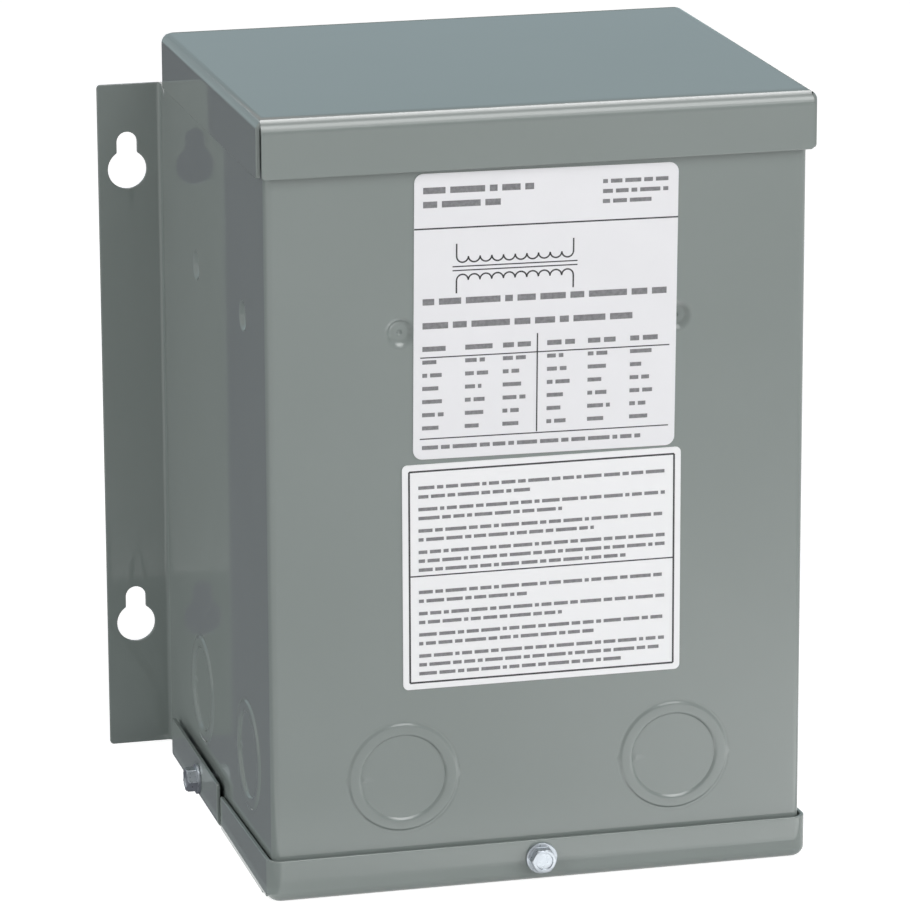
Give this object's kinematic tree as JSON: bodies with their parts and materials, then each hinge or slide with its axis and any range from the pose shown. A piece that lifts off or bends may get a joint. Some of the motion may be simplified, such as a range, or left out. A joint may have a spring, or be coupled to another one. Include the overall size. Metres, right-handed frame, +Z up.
{
  "type": "buck boost transformer",
  "caption": "Small potted transformer in a bent steel case with top cover, bottom pan, knockouts and keyhole flanges, for trimming a supply voltage up or down.",
  "frame": {"origin": "middle of the overall box at the level of the bottom pan's underside", "axes": "+Z up along the case's height, -Y out of the front with the labels, +Y towards the wall behind the flanges, +X to the right seen from the front"},
  "size_m": [0.2056, 0.1616, 0.2392],
  "materials": {
    "paint": "semi-gloss grey-green enamel",
    "zinc": "bright zinc plate",
    "resin": "matt potting resin",
    "label": "satin film"
  },
  "bodies": {
    "root": {"case_wrap": "paint", "top_cover": "paint", "bottom_pan": "paint", "back_panel": "paint", "potted_core": "resin", "upper_label": "label", "lower_label": "label", "screw_front": "zinc", "screw_left": "zinc", "screw_right": "zinc", "ring_front_left": "paint", "ring_front_right": "paint", "ring_left_front": "paint", "ring_left_rear": "paint", "ring_right_front": "paint", "ring_right_rear": "paint", "disc_front_left": "paint", "disc_front_right": "paint", "disc_left_front": "paint", "disc_left_rear": "paint", "disc_right_front": "paint", "disc_right_rear": "paint"}
  },
  "joints": []
}
